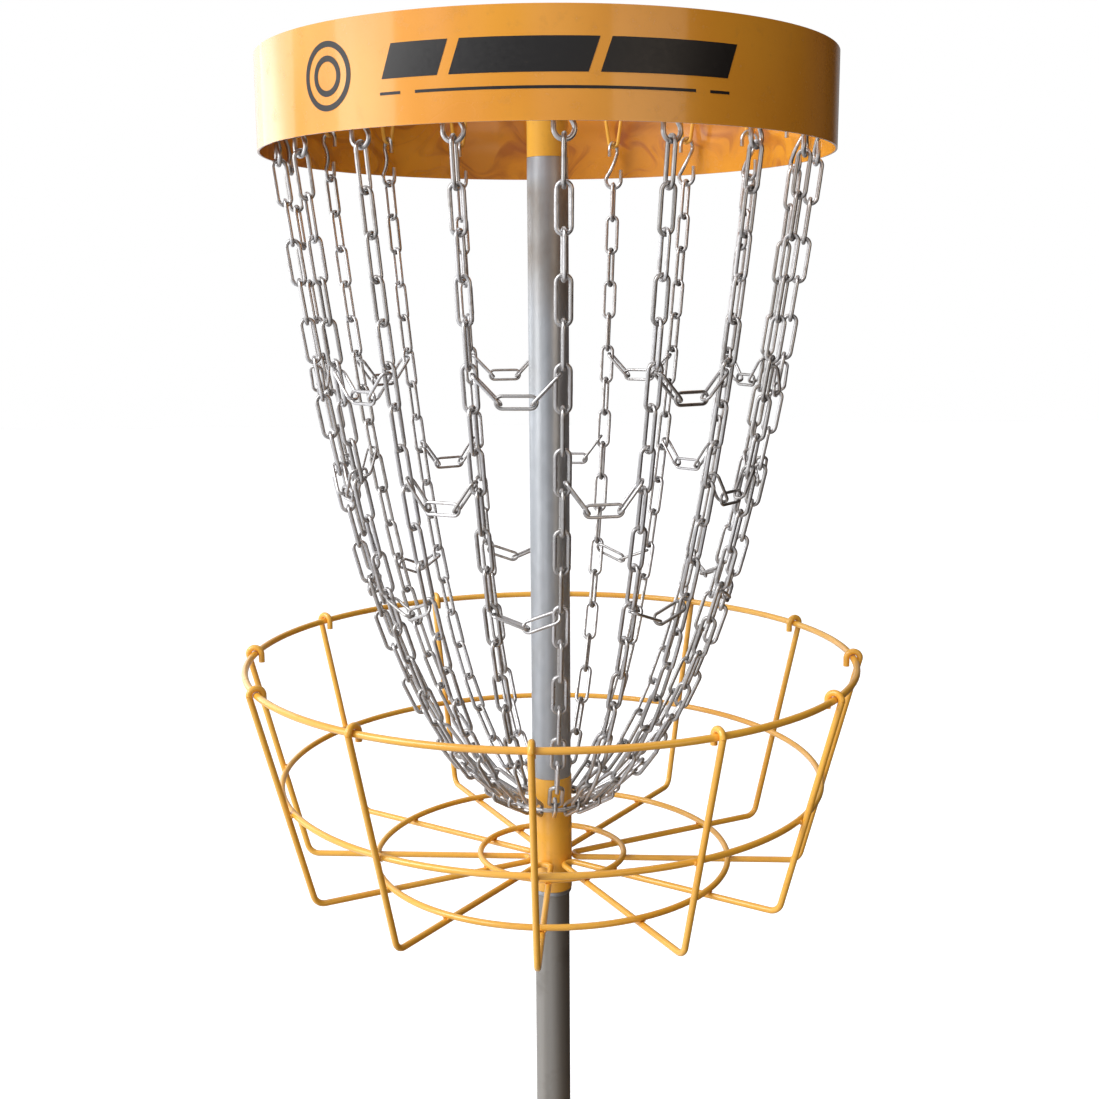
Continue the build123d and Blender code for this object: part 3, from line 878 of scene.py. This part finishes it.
def camera_at_front():
    """Camera a little above the rim, looking down at the front of the basket."""
    rim_low, rim_high = span("basket_rim")
    x, y, over_rim = CAMERA_PLACE
    place = Vector((x, y, (rim_low.z + rim_high.z) / 2 + over_rim))
    level = Vector((sin(CAMERA_HEADING), cos(CAMERA_HEADING), 0))
    right = Vector((cos(CAMERA_HEADING), -sin(CAMERA_HEADING), 0))
    ahead = level * cos(CAMERA_TILT) - UP * sin(CAMERA_TILT)
    above = right.cross(ahead)
    side = right * cos(CAMERA_ROLL) + above * sin(CAMERA_ROLL)
    up = above * cos(CAMERA_ROLL) - right * sin(CAMERA_ROLL)
    data = bpy.data.cameras.new("camera")
    data.sensor_width = CAMERA_SENSOR
    data.lens = CAMERA_LENS
    camera = stand("camera", data)
    turned = Matrix((side, up, -ahead)).transposed().to_4x4()
    camera.matrix_world = Matrix.Translation(place) @ turned
    bpy.context.scene.camera = camera


def face(lamp, direction):
    """Turns a lamp to shine along a direction."""
    lamp.rotation_euler = direction.to_track_quat("-Z", "Y").to_euler()


def area_light(name, place, aim, size, power, colour):
    """A soft lamp that faces the mast at a height."""
    data = bpy.data.lights.new(name, "AREA")
    data.shape = "RECTANGLE"
    data.size, data.size_y = size
    data.energy = power
    data.color = colour
    lamp = stand(name, data)
    lamp.location = place
    face(lamp, UP * aim - Vector(place))


def sun_light(name, toward, power, spread):
    """A far soft lamp, its spread in degrees."""
    data = bpy.data.lights.new(name, "SUN")
    data.energy = power
    data.angle = radians(spread)
    face(stand(name, data), Vector(toward))


def surround():
    """White to the camera, and to the piece a sky that darkens to the right in patches."""
    world = bpy.data.worlds.new("studio")
    bpy.context.scene.world = world
    sky = Graph(world, "Background")
    coords = sky.node("ShaderNodeTexCoord", output="Generated")
    across = sky.node("ShaderNodeSeparateXYZ", {"Vector": coords}, "X")
    cloth = {"Vector": coords, "Scale": 2.6, "Detail": 2.0}
    patches = sky.node("ShaderNodeTexNoise", cloth, "Fac")
    fall = sky.blend(sky.step(across, -0.45, 0.55), SKY_LEFT, SKY_RIGHT)
    broken = sky.blend(sky.step(patches, 0.42, 0.56), FLAG_DARK, FLAG_LIGHT)
    mixed = sky.blend(1.0, fall, broken, blend_type="MULTIPLY")
    seen = sky.node("ShaderNodeLightPath", output="Is Camera Ray")
    sky.set(color=sky.blend(seen, mixed, WHITE), strength=1.0)


def studio():
    """The surround and soft lights."""
    surround()
    sun_light("key", KEY_TOWARD, KEY_POWER, KEY_SPREAD)
    for name, settings in AREA_LIGHTS.items():
        area_light(name, *settings)


def floor():
    """Pale floor that glows a little, and that the metal doesn't mirror."""
    reach = FLOOR_REACH
    corners = [(-reach, -reach, 0), (reach, -reach, 0), (reach, reach, 0), (-reach, reach, 0)]
    mesh = bpy.data.meshes.new("floor")
    mesh.from_pydata(corners, [], [(0, 1, 2, 3)])
    ground = stand("floor", mesh)
    pale = Finish("pale_floor")
    pale.set(base_color=pale.blend(pale.noise(3, 2, 0.5), FLOOR_DARK, FLOOR_LIGHT))
    pale.set(roughness=1.0, emission_color=WHITE, emission_strength=FLOOR_GLOW)
    pale.set(specular_ior_level=0.0)
    mesh.materials.append(pale.material)
    ground.visible_diffuse = False
    ground.visible_glossy = False


BAND_INSIDE = outer_radius("band") - 1 * MM      # between the band's two faces
YELLOW, YELLOW_DEEP = rgb(248, 188, 74), rgb(236, 168, 52)
ORANGE, ORANGE_DEEP = rgb(240, 164, 48), rgb(230, 150, 40)
FINISHES = {
    "yellow_coat": powder_coat("yellow_coat", YELLOW, YELLOW_DEEP, roughness=0.26, peel=0.5),
    "band_coat": powder_coat("band_coat", ORANGE, ORANGE_DEEP, 0.2, 0.25, BAND_INSIDE),
    "galvanised_tube": galvanised("galvanised_tube"),
    "grey_tube": grey_paint("grey_tube"),
    "zinc_chain": bright_zinc("zinc_chain", channels=True),
    "zinc_hardware": bright_zinc("zinc_hardware", channels=False),
    "foot_rubber": foot_rubber("foot_rubber"),
    "ink": print_ink("print_ink"),
}

camera_at_front()
studio()
floor()
dress_frame_nodes()
dress_chains()
dress_band()
dress_basket()
dress_head()
dress_base()
bpy.context.scene.view_settings.view_transform = "Standard"
